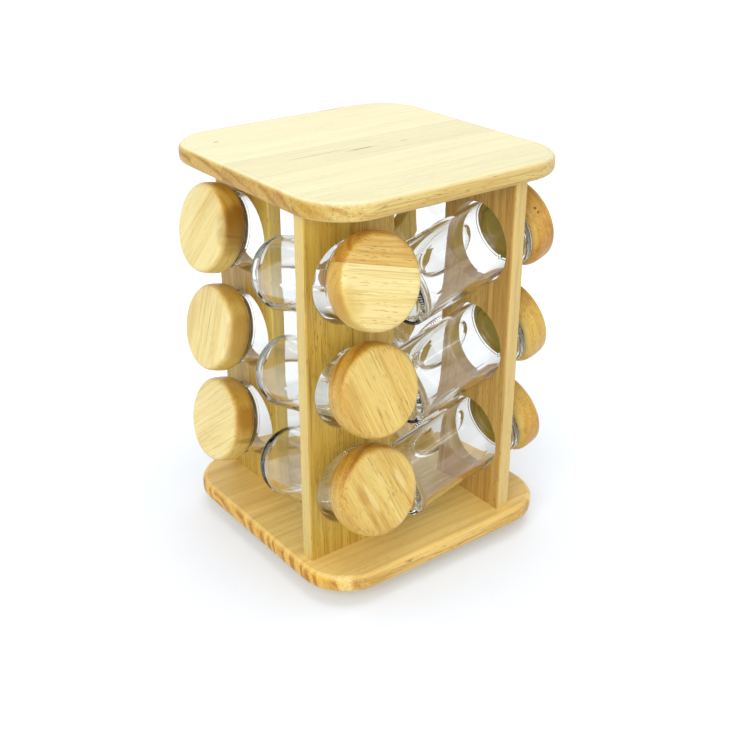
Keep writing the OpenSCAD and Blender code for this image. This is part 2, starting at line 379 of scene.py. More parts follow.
def open_pores(finish, log):
    """How far a place in the log lies in an open pore, from 0 to 1."""
    cells = finish.vector("MULTIPLY", log, (1, 1, PORES_ALONG / PORES_ACROSS))
    sockets = {"Vector": cells, "Scale": PORES_ACROSS, "Randomness": 1.0}
    heart = finish.add("TexVoronoi", sockets, "Position")
    luck = finish.add("SeparateColor", {0: heart.node.outputs["Color"]})
    across = 1 / PORE_HALF_WIDTH
    along = PORES_ACROSS / PORES_ALONG / PORE_HALF_LENGTH
    away = finish.vector("MULTIPLY", finish.vector("SUBTRACT", cells, heart), (across, across, along))
    inside = finish.spread(finish.length(away), PORE_CORE, 1.0, 1.0, 0.0)
    depth = finish.spread(luck, *PORE_LUCK)
    crowd = finish.spread(drawn_out(finish, log, CROWD_NOISE), *CROWD_RANGE, FEWEST_PORES, 1.0)
    return finish.math("MULTIPLY", finish.math("MULTIPLY", inside, depth), crowd)


print("the wood's pores are", 2 * PORE_HALF_WIDTH, "mm wide and", 2 * PORE_HALF_LENGTH, "mm long")

# %% [markdown]
# The wood between the pores has faint growth rings round the heart, fibres and streaks
# along the grain, and broad clouds of tone. Each is a noise that is drawn out along the
# log by its own amount, and the log itself wanders a little, so nothing is quite
# straight. Together they choose a tone between pale, golden and brown. Fine dark hair
# lines and the pores come on top. Rings show best on the end grain.

# %% Grow the wood
WANDER = 13.0
WANDER_NOISE = (0.022, 0.15, 2.0)
RING_DETAIL = 1.5
FIBRE_NOISE = (1.3, 0.03, 3.0)
FIBRE_SHARE = 0.6
STREAK_NOISE = (0.28, 0.02, 2.0)
STREAK_SHARE = 0.5
CLOUD_NOISE = (0.06, 0.15, 2.0)
CLOUD_SHARE = 0.5
WOOD_STOPS = (0.26, 0.5, 0.78)
HAIR_NOISE = (1.1, 0.012, 1.0)
HAIR_RANGE = (0.56, 0.72)
HAIR_TONE = tone(158, 112, 44)
FIBRE_HEIGHT = 0.4
END_RANGE = (0.45, 0.9)


def grown(finish, log, grain, tones, ring=6.0, figure=0.3, end_figure=0.6, pores=0.8, hairs=0.4):
    """Colour, height and end grain of rubberwood at each place in the log. grain is the way
    that the grain runs on the rack, and tones are the pale, the golden and the brown wood.
    The rest is the width of a year's ring, and how strongly rings, pores and hairs show."""
    end = facing(finish, grain, *END_RANGE)
    wander = drawn_out(finish, log, WANDER_NOISE, "Color")
    shift = finish.vector("SUBTRACT", wander, (0.5, 0.5, 0.5))
    bent = finish.vector("MULTIPLY_ADD", shift, (WANDER, WANDER, WANDER), log)
    radius = finish.length(finish.vector("MULTIPLY", bent, (1 / ring, 1 / ring, 0)))
    sockets = {"W": radius, "Scale": 1.0, "Detail": RING_DETAIL}
    growth = finish.add("TexNoise", sockets, noise_dimensions="1D")
    fibre = drawn_out(finish, bent, FIBRE_NOISE)
    streak = drawn_out(finish, bent, STREAK_NOISE)
    cloud = drawn_out(finish, bent, CLOUD_NOISE)
    rings = finish.around(growth, finish.math("MULTIPLY_ADD", end, end_figure, figure))
    share = finish.math("ADD", rings, finish.around(fibre, FIBRE_SHARE))
    share = finish.math("ADD", share, finish.around(streak, STREAK_SHARE))
    share = finish.math("ADD", share, finish.math("ADD", finish.around(cloud, CLOUD_SHARE), 0.5))
    wood = finish.ramp(share, list(zip(WOOD_STOPS, tones)))
    hair = finish.spread(drawn_out(finish, bent, HAIR_NOISE), *HAIR_RANGE, 0.0, hairs)
    wood = finish.blend(hair, wood, HAIR_TONE)
    open_pore = open_pores(finish, bent)
    wood = finish.blend(finish.math("MULTIPLY", open_pore, pores), wood, PORE_TONE)
    height = finish.math("SUBTRACT", finish.math("MULTIPLY", fibre, FIBRE_HEIGHT), open_pore)
    return wood, height, end


print("the grain wanders by up to", WANDER / 2, "mm")

# %% [markdown]
# The rack has a thin satin varnish. It sinks into the open pores, which stay duller than
# the wood between them. A few specks, lines and stains can't be left to chance, because
# the eye knows a rack by them, and the same kind of mark paints a few patches of shade on
# the lids. Each is a soft ball, stretched to the size wanted, with a ragged edge: a fine
# one for a line, and a broader one for a stain or a patch of shade.

# %% Varnish and mark the wood
SATIN_RELIEF = 0.25
SATIN_DEPTH = 0.12 * MM
SATIN_HEIGHTS = (-0.6, 0.4)
PORE_DULLER = 0.16
FIBRE_SHINIER = 0.04
VARNISH_ROUGH = 0.3
VARNISH_GLOSS = 0.35
RAGGED = 0.6
FINE_RAG = 300.0
BROAD_RAG = 90.0
BROAD_MARK = 3 * MM
MARK_CORE = 0.35


def satin(finish, wood, height, rough=0.42, varnish=0.12):
    """A thin satin varnish over the wood, which sinks a little into the open pores."""
    relief = finish.add("Bump", {"Strength": SATIN_RELIEF, "Distance": SATIN_DEPTH, "Height": height})
    roughness = finish.spread(height, *SATIN_HEIGHTS, rough + PORE_DULLER, rough - FIBRE_SHINIER)
    shader = finish.surface(Base_Color=wood, Roughness=roughness, Normal=relief, Coat_Weight=varnish)
    shader.node.inputs["Coat Roughness"].default_value = VARNISH_ROUGH
    shader.node.inputs["Specular IOR Level"].default_value = VARNISH_GLOSS
    return finish.show(shader)


def mark(finish, wood, place, reach, colour, share, turn=ALONG_Z):
    """A ragged speck, line, stain or patch of painted shade at a place, reaching half its size each
    way.
    """
    here = finish.here()
    sockets = {"Vector": here, "Location": place, "Rotation": turn.to_euler("XYZ"), "Scale": reach}
    away = finish.add("Mapping", sockets, vector_type="TEXTURE")
    rag_size = FINE_RAG if min(reach) < BROAD_MARK else BROAD_RAG
    ragged = finish.around(finish.noise(here, rag_size), RAGGED)
    away = finish.math("ADD", finish.length(away), ragged)
    return finish.blend(finish.spread(away, MARK_CORE, 1.0, share, 0.0), wood, colour)


print("a mark is broad from", BROAD_MARK / MM, "mm")

# %% [markdown]
# The plates are glued up from strips, as such boards are, because a single plank this
# wide would cup. The strips run from left to right. Each comes from another part of the
# log, so its rings, its streaks and its tone differ a little from its neighbour's, and
# the joints show as hair lines. A strip's number is enough to draw its luck from. A faint
# dark line runs all round the face where the round of the edge begins.

# %% Glue up a plate
STRIP = 38.0
STRIP_SHIFT = (70, 160, 900)
GLUE_HALF = 0.25
GLUE_TONE = tone(150, 104, 45)
PLATE_HALF = 95.0
CORNER_R = 35.0
EDGE_R = 4.0
EDGE_LINE_CORE = 0.1
EDGE_LINE_HALF = 0.5


def glued(finish, log, seed):
    """Moves every strip of a glued-up plate to a place of its own in the log."""
    place = finish.add("SeparateXYZ", {0: log}, "Y")
    count = finish.math("ADD", finish.math("DIVIDE", place, STRIP), seed + 0.5)
    strip = finish.math("FLOOR", count)
    luck = finish.add("TexWhiteNoise", {"W": strip}, "Color", noise_dimensions="1D")
    centred = finish.vector("SUBTRACT", luck, (0.5, 0.5, 0.5))
    moved = finish.vector("MULTIPLY_ADD", centred, STRIP_SHIFT, log)
    edge = finish.math("ABSOLUTE", finish.math("SUBTRACT", finish.math("FRACT", count), 0.5))
    joint = finish.spread(edge, 0.5 - GLUE_HALF / STRIP, 0.5)
    return moved, luck, joint


def edge_start_line(finish):
    """A thin line on the plate's face where its rounded edge begins."""
    here = finish.vector("MULTIPLY", finish.here(), (1 / MM, 1 / MM, 0))
    straight = PLATE_HALF - CORNER_R
    past = finish.vector("SUBTRACT", finish.vector("ABSOLUTE", here), (straight, straight, 0))
    past = finish.vector("MAXIMUM", past, (0, 0, 0))
    off_line = finish.math("SUBTRACT", finish.length(past), CORNER_R - EDGE_R)
    return finish.spread(finish.math("ABSOLUTE", off_line), EDGE_LINE_CORE, EDGE_LINE_HALF, 1.0, 0.0)


print("the plates are glued from strips", STRIP, "mm wide")

# %% [markdown]
# The upper faces of both plates fade to a paler tone of their own, and this is painted
# light: the top plate's face stands in the brightest light, and the base plate's face is
# lifted against the shade of the rack above it. The base plate is more golden and shows
# more figure. Both ends are browner, as end grain drinks more varnish. The few dark
# streaks and specks are listed one by one, in metres on the rack.

# %% Finish the plates
PLATE_LOG = (0, 0.11, -0.05)
DARKEST_STRIP = (0.90, 0.89, 0.86, 1)
UP_RANGE = (0.2, 0.95)
GLUE_SHARE = 0.3
EDGE_LINE_SHARE = 0.12
TOP_TONES = (tone(242, 220, 148), tone(232, 202, 120), tone(204, 158, 76))
TOP_FACE_PAINTED_LIGHT = tone(249, 249, 212)
TOP_END = tone(224, 202, 142)
BASE_TONES = (tone(248, 216, 136), tone(234, 194, 106), tone(192, 140, 58))
BASE_FACE_PAINTED_LIGHT = tone(255, 222, 136)
BASE_END = tone(248, 230, 164)
TOP_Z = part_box("top_plate")[1][2]
EDGE_Y = -PLATE_HALF * MM
TOP_MARKS = [
    ((-0.0070, -0.0058, TOP_Z), (0.0150, 0.0010, 0.002), 0.9),
    ((-0.0350, -0.0010, TOP_Z), (0.0340, 0.0008, 0.002), 0.5),
    ((0.0390, 0.0900, TOP_Z), (0.0160, 0.0009, 0.003), 0.5),
    ((-0.0713, 0.0621, TOP_Z), (0.0030, 0.0018, 0.002), 0.5),
    ((0.0276, -0.0058, TOP_Z), (0.0040, 0.0012, 0.002), 0.4),
]
BASE_MARKS = [
    ((-0.0246, EDGE_Y, 0.0235), (0.0026, 0.002, 0.0022), 0.85),
    ((-0.0337, EDGE_Y, 0.0205), (0.0050, 0.002, 0.0009), 0.6),
    ((0.0100, EDGE_Y, 0.0160), (0.0040, 0.002, 0.0006), 0.5),
]


def plate_wood(name, tones, face, painted_light_share, end_tone, seed, figure, marks):
    """The finish of a plate whose upper side fades to a paler tone, which is painted light."""
    finish = new_finish(name)
    moved, luck, joint = glued(finish, log_space(finish, PLATE_LOG, ALONG_X), seed)
    wood, height, end = grown(
        finish, moved, (1, 0, 0), tones, figure=figure, end_figure=1.6, pores=1.0, hairs=0.5
    )
    # Painted light: the faces that look up fade to a paler tone.
    lift = finish.add("SeparateXYZ", {0: finish.add("TexCoord", {}, "Normal")}, "Z")
    up = finish.spread(lift, *UP_RANGE)
    wood = finish.blend(finish.math("MULTIPLY", up, painted_light_share), wood, face)
    strip_stops = [(0, DARKEST_STRIP), (1, WHITE)]
    strip_tone = finish.ramp(finish.add("SeparateColor", {0: luck}), strip_stops)
    wood = finish.blend(1.0, wood, strip_tone, "MULTIPLY")
    wood = finish.blend(finish.math("MULTIPLY", joint, GLUE_SHARE), wood, GLUE_TONE)
    line = finish.math("MULTIPLY", finish.math("MULTIPLY", edge_start_line(finish), up), EDGE_LINE_SHARE)
    wood = finish.blend(line, wood, GLUE_TONE)
    wood = finish.stained(end, wood, end_tone)
    for place, reach, share in marks:
        wood = mark(finish, wood, place, reach, GLUE_TONE, share)
    return satin(finish, wood, height)


coat("top_plate", plate_wood(
    "top_wood", TOP_TONES, TOP_FACE_PAINTED_LIGHT, painted_light_share=0.68, end_tone=TOP_END,
    seed=4, figure=0.35, marks=TOP_MARKS,
))
coat("base_plate", plate_wood(
    "base_wood", BASE_TONES, BASE_FACE_PAINTED_LIGHT, painted_light_share=0.6, end_tone=BASE_END,
    seed=11, figure=0.9, marks=BASE_MARKS,
))
print("the plates have", len(TOP_MARKS) + len(BASE_MARKS), "marks set by hand")

# %% [markdown]
# The boards stand on end, with their grain upright. They are narrow enough for a single
# plank each, so they need no joints, only a log of their own apiece. Their narrow edges
# are painted a little paler, which is painted light: it stands for the light that the
# edges catch while the broad faces lie in shade. The right board is the brownest.

# %% Finish the four boards
BOARD_TONES = (tone(224, 196, 98), tone(208, 172, 74), tone(182, 140, 48))
BROWN_BOARD_TONES = (tone(218, 182, 104), tone(200, 158, 82), tone(168, 122, 50))
BOARD_EDGE_LIT = tone(246, 226, 150)
BOARD_EDGE_LIT_SHARE = 0.4
BOARD_END = tone(235, 210, 170)
HEARTS = {
    "front": (-0.09, -0.02, 0),
    "right": (0.02, -0.12, 0),
    "back": (0.1, 0.01, 0),
    "left": (-0.01, 0.1, 0),
}
THROUGH = {"front": (0, 1, 0), "right": (1, 0, 0), "back": (0, 1, 0), "left": (1, 0, 0)}


def board_wood(side):
    """The finish of the board on one side of the rack."""
    finish = new_finish(f"{side}_board_wood")
    log = log_space(finish, HEARTS[side], ALONG_Z)
    tones = BROWN_BOARD_TONES if side == "right" else BOARD_TONES
    wood, height, end = grown(finish, log, (0, 0, 1), tones, ring=4.0, pores=1.0, hairs=0.65)
    # Painted light: the narrow edges are paler than the broad faces.
    face = facing(finish, THROUGH[side], 0.3, 0.9)
    lit_edge_share = finish.spread(face, 0.0, 1.0, BOARD_EDGE_LIT_SHARE, 0.0)
    wood = finish.blend(lit_edge_share, wood, BOARD_EDGE_LIT)
    wood = finish.stained(end, wood, BOARD_END)
    return satin(finish, wood, height)


for side in SIDES:
    coat(f"{side}_board", board_wood(side))
print(len(SIDES), "boards have their finish")

# %% [markdown]
# The round pieces are spun again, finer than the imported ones, because glass shows every
# facet and a turned lid should have a true arris. An outline is a few corners, rounded
# with the bevel tool, and one spin about the axis turns it into a closed wall. A ring of
# corners close to each rounding keeps the long wall beyond it straight in its shading.

# %% Make the lathe
HOLD = 1.0
SHARP = math.radians(40)
TOUCHING = 0.002 * MM


def turned(outline, steps, segments=7):
    """Spins an outline about the Z axis. A corner is a radius and a height in millimetres,
    followed by the radius of its rounding, if it has one."""
    mesh = bmesh.new()
    corners = [mesh.verts.new((radius * MM, 0, height * MM)) for radius, height, *_ in outline]
    for first, second in zip(corners, corners[1:]):
        mesh.edges.new((first, second))
    for corner, (_, _, *rounding) in zip(corners, outline):
        if rounding:
            bmesh.ops.bevel(
                mesh, geom=[corner], offset=rounding[0] * MM, offset_type="OFFSET",
                segments=segments, profile=0.5, affect="VERTICES", material=-1,
            )
    bmesh.ops.spin(
        mesh, geom=mesh.verts[:] + mesh.edges[:], cent=(0, 0, 0), axis=(0, 0, 1),
        angle=math.tau, steps=steps, use_merge=True,
    )
    bmesh.ops.remove_doubles(mesh, verts=mesh.verts[:], dist=TOUCHING)
    bmesh.ops.recalc_face_normals(mesh, faces=mesh.faces[:])
    return mesh


def finished(mesh, name, material, seat, body):
    """Makes a bmesh a smooth piece at its seat, crisp at its corners, that rides on a body."""
    bmesh.ops.transform(mesh, matrix=seat, verts=mesh.verts[:])
    for face in mesh.faces:
        face.smooth = True
    for edge in mesh.edges:
        edge.smooth = edge.calc_face_angle(0) < SHARP
    data = bpy.data.meshes.new(name)
    mesh.to_mesh(data)
    mesh.free()
    data.materials.append(material)
    piece = bpy.data.objects.new(name, data)
    bpy.context.scene.collection.objects.link(piece)
    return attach(piece, body)


print("the lathe keeps corners crisp from", round(math.degrees(SHARP)), "degrees")

# %% [markdown]
# A lid is a disc with a slightly bulging side, a tight arris in front and a softer one
# behind, over a short plug that the stopper is pressed on. The bulge is an arc of a large
# circle, and four points on it are enough. The plug ends just inside the stopper, so its
# size follows from the stopper's, which is drawn further on.

# %% Draw the lid
LID_STEPS = 120
LID_R = 29.5
LID_H = 18.0
LID_FRONT_R = 3.5
LID_BACK_R = 5.0
BULGE_R = 45.0
BULGE_Z = 8.0
BULGE_MARKS = (14.0, 11.0, 8.0, 5.8)
LID_BACK = lid_seats["front_top"][1] / MM - LID_H
STOPPER_H = 5.8
STOPPER_R = 20.2
STOPPER_WALL = 1.4
DISH_DEPTH = 1.4
FIT = 0.05
PLUG_R = STOPPER_R - STOPPER_WALL - FIT
PLUG_END = LID_BACK - STOPPER_H + DISH_DEPTH + STOPPER_WALL + FIT


def bulged(above):
    """The radius of the lid's side at a height above the lid's back."""
    return LID_R - BULGE_R + math.sqrt(BULGE_R ** 2 - (above - BULGE_Z) ** 2)


def lid_outline():
    """Corners from the middle of the face, down the bulging side and over the plug."""
    face = LID_BACK + LID_H
    front, back = bulged(LID_H), bulged(0)
    outline = [(0, face), (front - LID_FRONT_R - HOLD, face), (front, face, LID_FRONT_R)]
    outline += [(bulged(above), LID_BACK + above) for above in BULGE_MARKS]
    outline += [(back, LID_BACK, LID_BACK_R), (back - LID_BACK_R - HOLD, LID_BACK)]
    return outline + [(PLUG_R, LID_BACK), (PLUG_R, PLUG_END), (0, PLUG_END)]


print("a lid is", 2 * LID_R, "mm across, with", len(lid_outline()), "corners in its outline")

# %% [markdown]
# The lids are turned from offcuts of many planks, so no two look alike: one is glued from
# a brown and a pale piece, some are pale and some are golden. Each gets its own log,
# turned so that its grain crosses the face at the angle wanted. After the angle come its
# tones and how strongly its rings and pores show.

# %% Choose the wood of each lid
LID_PALE = (tone(248, 232, 170), tone(242, 220, 146), tone(226, 190, 106))
LID_GOLD = (tone(242, 216, 132), tone(232, 200, 110), tone(208, 164, 72))
LID_HONEY = (tone(236, 208, 122), tone(226, 190, 98), tone(200, 152, 62))
LID_BROWN = (tone(236, 202, 118), tone(224, 182, 92), tone(194, 144, 56))
LID_CUTS = {
    "front_top": (-16, LID_PALE, 0.25, 0.75),
    "front_middle": (108, LID_HONEY, 0.5, 0.9),
    "front_bottom": (112, LID_HONEY, 0.5, 0.9),
    "right_top": (35, LID_BROWN, 0.45, 0.6),
    "right_middle": (80, LID_GOLD, 0.3, 0.6),
    "right_bottom": (20, LID_GOLD, 0.3, 0.6),
    "back_top": (95, LID_PALE, 0.3, 0.6),
    "back_middle": (10, LID_GOLD, 0.4, 0.7),
    "back_bottom": (60, LID_PALE, 0.3, 0.6),
    "left_top": (58, LID_PALE, 0.6, 0.3),
    "left_middle": (92, LID_PALE, 0.4, 0.3),
    "left_bottom": (42, LID_PALE, 0.5, 0.35),
}
LID_RING = 5.0
NEAREST_HEART = 20
HEART_STEP = 7
HEART_SPAN = 31
HEART_DEPTH = 40
DEPTH_STEP = 9


def cut_from(seat, angle, aside, below):
    """The heart and the turn of a log whose grain crosses a lid's face at an angle."""
    right, top, out = (seat.to_3x3().col[i] for i in range(3))
    grain = right * math.cos(math.radians(angle)) + top * math.sin(math.radians(angle))
    turn = Matrix((out.cross(grain), out, grain)).transposed()
    heart = seat.translation + turn @ Vector((aside, below, 0)) * MM
    return heart, turn, grain


print(len(LID_CUTS), "lids have their wood")

# %% [markdown]
# The marks that tell the lids apart are listed one by one. A stain is a place on the lid,
# its reach each way, how far it leans in degrees, its tone and its share. Places and
# reaches are in millimetres from the lid's foot, with X to the right and Y up the face.
# One lid has a pair of pits on its rim, at places on the rack.
# The broad patches on the sides of the left lids that face the front, and at the left of the two upper
# front lids, are partly the wood's darker tone and partly painted shade.

# %% Choose the stains and the painted shade of the lids
AMBER = tone(206, 162, 74)
UMBER = tone(168, 126, 48)
CREAM = tone(246, 222, 152)
STAINS_AND_SHADE = {
    "front_top": [((-24, -8, 22), (12, 17, 13), 0, tone(214, 178, 84), 0.75)],
    "front_middle": [
        ((-22, 2, 23), (13, 20, 11), 18, AMBER, 0.6),
        ((-4, -12, 28), (0.9, 7, 2), 18, UMBER, 0.6),
        ((1, -15, 28), (0.6, 6, 2), 18, UMBER, 0.5),
        ((-9, 8, 28), (0.7, 6, 2), 18, UMBER, 0.4),
    ],
    "front_bottom": [
        ((-14, 2, 28), (5, 10, 6), 22, tone(190, 138, 52), 0.6),
        ((-8, -1, 28), (2.6, 16, 4), 22, CREAM, 0.6),
        ((15, 4, 28), (2.6, 14, 5), 22, CREAM, 0.6),
        ((12, 3, 28), (0.6, 14, 3), 22, UMBER, 0.7),
        ((18, 6, 27), (0.6, 11, 3), 22, UMBER, 0.6),
    ],
    "left_top": [
        ((27, 10, 17), (13, 26, 16), 0, UMBER, 0.9),
        ((28, 2, 20), (6, 1.2, 9), 0, PORE_TONE, 0.35),
    ],
    "left_middle": [
        ((3, 0, 28), (0.6, 24, 2), 0, UMBER, 0.6),
        ((-20, 0, 27), (11, 24, 7), 0, AMBER, 0.35),
        ((28, 4, 17), (9, 30, 15), 0, AMBER, 0.7),
    ],
    "left_bottom": [
        ((28, 12, 18), (8, 14, 14), 0, AMBER, 0.75),
        ((28, -5, 16), (5, 3, 12), 0, UMBER, 0.5),
    ],
}
PITS = {"right_top": [(0.0766, -0.0779, 0.2340), (0.0778, -0.0798, 0.2315)]}
PIT_R = 0.0012
PIT_TONE = tone(92, 56, 20)
PIT_SHARE = 0.95
print(sum(len(stains) for stains in STAINS_AND_SHADE.values()), "stains on", len(STAINS_AND_SHADE), "lids")

# %% [markdown]
# Now the lids can be turned. The glued one has a second log above its joint, and a thin
# line of glue between the two. End grain is a little browner. The round sides are browner
# too, partly as the wood's own tone and partly as painted shade. A lid is rubbed shinier
# than the rest of the rack, because hands polish it.

# %% Turn and finish the twelve lids
TWO_TONED = {"front_top": (9.5, LID_BROWN)}
UPPER_SHIFT = (150, 40, 300)
LID_END = tone(240, 222, 178)
LID_SIDE_TONE_AND_SHADE = tone(240, 229, 198)
LID_ROUGH = 0.38
LID_VARNISH = 0.15


def two_toned(finish, wood, log, grain, joint, upper_tones):
    """Glues a piece from another part of the log on, above a joint."""
    upper_log = finish.vector("ADD", log, UPPER_SHIFT)
    upper, _, _ = grown(
        finish, upper_log, grain, upper_tones, LID_RING, figure=0.5, pores=1.0, hairs=0.4
    )
    above = finish.math("ADD", finish.add("SeparateXYZ", {0: log}, "X"), joint)
    wood = finish.blend(finish.spread(above, -0.1, 0.1), wood, upper)
    glue = finish.spread(finish.math("ABSOLUTE", above), 0.05, 0.35, 0.5, 0.0)
    return finish.blend(glue, wood, GLUE_TONE)


def lid_wood(place):
    """The finish of one lid, with its own cut, stains and pits, and on some lids patches that are
    partly painted shade.
    """
    seat = lid_seats[place][0]
    angle, tones, figure, pores = LID_CUTS[place]
    number = PLACES.index(place)
    aside = NEAREST_HEART + HEART_STEP * number % HEART_SPAN
    below = -HEART_DEPTH - DEPTH_STEP * number
    heart, turn, grain = cut_from(seat, angle, aside, below)
    finish = new_finish(f"lid_{place}_wood")
    log = log_space(finish, heart, turn)
    wood, height, end = grown(
        finish, log, grain, tones, LID_RING, figure=figure, pores=pores, hairs=pores / 2
    )
    if place in TWO_TONED:
        joint, upper_tones = TWO_TONED[place]
        wood = two_toned(finish, wood, log, grain, aside - joint, upper_tones)
    # Stains, and the broad patches that are partly painted shade
    for where, reach, lean, colour, share in STAINS_AND_SHADE.get(place, ()):
        spot = seat @ (Vector(where) * MM)
        leaning = (seat @ Matrix.Rotation(math.radians(lean), 4, "Z")).to_3x3()
        wood = mark(finish, wood, spot, Vector(reach) * MM, colour, share, leaning)
    for where in PITS.get(place, ()):
        wood = mark(finish, wood, where, (PIT_R, PIT_R, PIT_R), PIT_TONE, PIT_SHARE)
    wood = finish.stained(end, wood, LID_END)
    # Partly painted shade: the round side is toned browner all round.
    side_tone_and_shade = finish.math("SUBTRACT", 1.0, facing(finish, seat.to_3x3().col[2], 0.4, 0.95))
    wood = finish.stained(side_tone_and_shade, wood, LID_SIDE_TONE_AND_SHADE)
    return satin(finish, wood, height, LID_ROUGH, LID_VARNISH)


for place in PLACES:
    disc = turned(lid_outline(), LID_STEPS)
    seat = lid_seats[place][0]
    lid = finished(disc, f"turned_lid_{place}", lid_wood(place), seat, f"lid_{place}")
    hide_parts(f"lid_{place}")
print("twelve lids, each of", len(lid.data.polygons), "faces")

# %% [markdown]
# A jar is blown into a mould: a straight wall, a thick floor with a dished underside and
# a ring at the mouth. Its inside is drawn as well, because glass is only right when a ray
# passes both skins of the wall. The outline runs from under the floor, up the outside,
# over the mouth and down inside to the middle again, so one spin gives a closed solid.

# %% Draw the jar
JAR_STEPS = 168
JAR_SEGMENTS = 12
JAR_R = 24.5
JAR_WALL = 2.2
JAR_FLOOR = 5.0
JAR_H = jar_seats["front_top"][1] / MM
HEEL_R = 3.0
HOLLOW_R = 4.0
PUNT_H = 1.2
PUNT_R = JAR_R - 2 * HEEL_R
PUNT_MARKS = (0, 0.35, 0.7, 1)
LIP_OUT = 1.2
LIP_H = 4.5
LIP_EDGE_R = 0.9
BRIM_EDGE_R = 0.7
KNURL_TOP = 4.4
KNURL_IN = 19.4


def jar_outline():
    """Corners from under the floor, up the wall, over the mouth and down inside."""
    bore = JAR_R - JAR_WALL
    lip = JAR_R + LIP_OUT
    neck = JAR_H - LIP_H
    outline = [(PUNT_R * part, PUNT_H * (1 - part * part)) for part in PUNT_MARKS]
    outline += [(KNURL_IN, 0), (JAR_R, 0, HEEL_R), (JAR_R, KNURL_TOP), (JAR_R, KNURL_TOP + HOLD)]
    outline += [(JAR_R, neck - HOLD), (JAR_R, neck), (lip, neck, LIP_EDGE_R)]
    outline += [(lip, JAR_H, LIP_EDGE_R), (bore, JAR_H, BRIM_EDGE_R), (bore, JAR_H - 2 * HOLD)]
    outline += [(bore, JAR_FLOOR + HOLLOW_R + HOLD), (bore, JAR_FLOOR, HOLLOW_R)]
    return outline + [(bore - HOLLOW_R - HOLD, JAR_FLOOR), (0, JAR_FLOOR)]


print("a jar is", 2 * JAR_R, "mm across, with", len(jar_outline()), "corners in its outline")

# %% [markdown]
# A band of small ridges runs round the heel and keeps the hot glass off the belt, and two
# fine seams show where the halves of the mould met. Both are pressed into the mesh after
# the spin, because they are the only parts of a jar that aren't round.

# %% Press in the ridges and the seams
KNURL_DEPTH = 0.5
KNURL_MARGIN = 0.1
SEAM_HEIGHT = 0.12
ON_SKIN = 0.01


def knurl(mesh):
    """Presses every second line of the heel inwards, which leaves a band of ridges."""
    step = math.tau / JAR_STEPS
    mesh.normal_update()
    for vertex in mesh.verts:
        radius = math.hypot(vertex.co.x, vertex.co.y)
        low = vertex.co.z < (KNURL_TOP - KNURL_MARGIN) * MM
        odd = round(math.atan2(vertex.co.y, vertex.co.x) / step) % 2
        if low and odd and radius > (KNURL_IN + KNURL_MARGIN) * MM:
            vertex.co -= vertex.normal * KNURL_DEPTH * MM


def seams(mesh):
    """Raises the two seams of the mould along the wall's sides."""
    for vertex in mesh.verts:
        outer = math.hypot(vertex.co.x, vertex.co.y) > (JAR_R - ON_SKIN) * MM
        straight = KNURL_TOP * MM < vertex.co.z < (JAR_H - LIP_H + KNURL_MARGIN) * MM
        if outer and straight and abs(vertex.co.y) < ON_SKIN * MM:
            vertex.co.x *= 1 + SEAM_HEIGHT / JAR_R


print("the heel has", JAR_STEPS // 2, "ridges")

# %% [markdown]
# The glass is clear, with a slight grey only where the eye looks along the wall, and its
# skin has the faint ripple of blown glass. Light that a lamp sends through it isn't
# traced as it bends, so the way is simply left open for it, and for a ray that has been
# caught in a wall and has bounced there too often: it would otherwise end as a black rim.

# %% Blow the glass jars
LOST_DEPTH = 5.5
CLEAR = (0.985, 0.988, 0.985, 1)
GREYISH = (0.95, 0.952, 0.945, 1)
GREY_RIM = (0.8, 0.805, 0.79, 1)
OPEN_TINT = (0.93, 0.94, 0.93, 1)
GLASS_IOR = 1.5
RIPPLE_SIZE = 60.0
RIPPLE_RELIEF = 0.12
RIPPLE_DEPTH = 0.6 * MM


def jar_glass():
    finish = new_finish("blown_glass")
    ripple = finish.noise(finish.here(), RIPPLE_SIZE, 1.0)
    relief = finish.add("Bump", {"Strength": RIPPLE_RELIEF, "Distance": RIPPLE_DEPTH, "Height": ripple})
    along_wall = finish.add("LayerWeight", {"Blend": 0.5}, "Facing")
    colour = finish.ramp(along_wall, [(0.75, CLEAR), (0.95, GREYISH), (1.0, GREY_RIM)])
    glass = finish.surface(Base_Color=colour, Normal=relief, Roughness=0.0, IOR=GLASS_IOR)
    glass.node.inputs["Transmission Weight"].default_value = 1.0
    lamp_ray = finish.ray("Is Shadow Ray")
    soft_ray = finish.ray("Is Diffuse Ray")
    lost_ray = finish.math("GREATER_THAN", finish.ray("Ray Depth"), LOST_DEPTH)
    open_way = finish.add("BsdfTransparent", {"Color": OPEN_TINT})
    share = finish.math("MAXIMUM", finish.math("MAXIMUM", lamp_ray, soft_ray), lost_ray)
    return finish.show(finish.add("MixShader", {0: share, 1: glass, 2: open_way}))


glass = jar_glass()
for place in PLACES:
    blown = turned(jar_outline(), JAR_STEPS, JAR_SEGMENTS)
    knurl(blown)
    seams(blown)
    jar = finished(blown, f"glass_{place}", glass, jar_seats[place][0], f"jar_{place}")
    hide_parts(f"jar_{place}")
print("twelve jars, each of", len(jar.data.polygons), "faces")

# %% [markdown]
# On each lid's plug sits a stopper of soft plastic, a shallow cup whose closed end looks
# into the jar. Its end is stepped, and three thin fins round it grip the jar's mouth. The
# fins repeat, so a loop adds them to the outline.

# %% Draw the stopper
STOPPER_STEPS = 120
STOPPER_SEGMENTS = 3
FIN_R = 22.0
FIN_T = 0.7
FIN_STEP = 1.6
FIN_COUNT = 3
FIN_START = 1.3
FIN_EDGE_R = 0.25
END_R = 0.8
DISH_R = 13.0
GROOVE_R = 16.6
GROOVE_W = 0.8


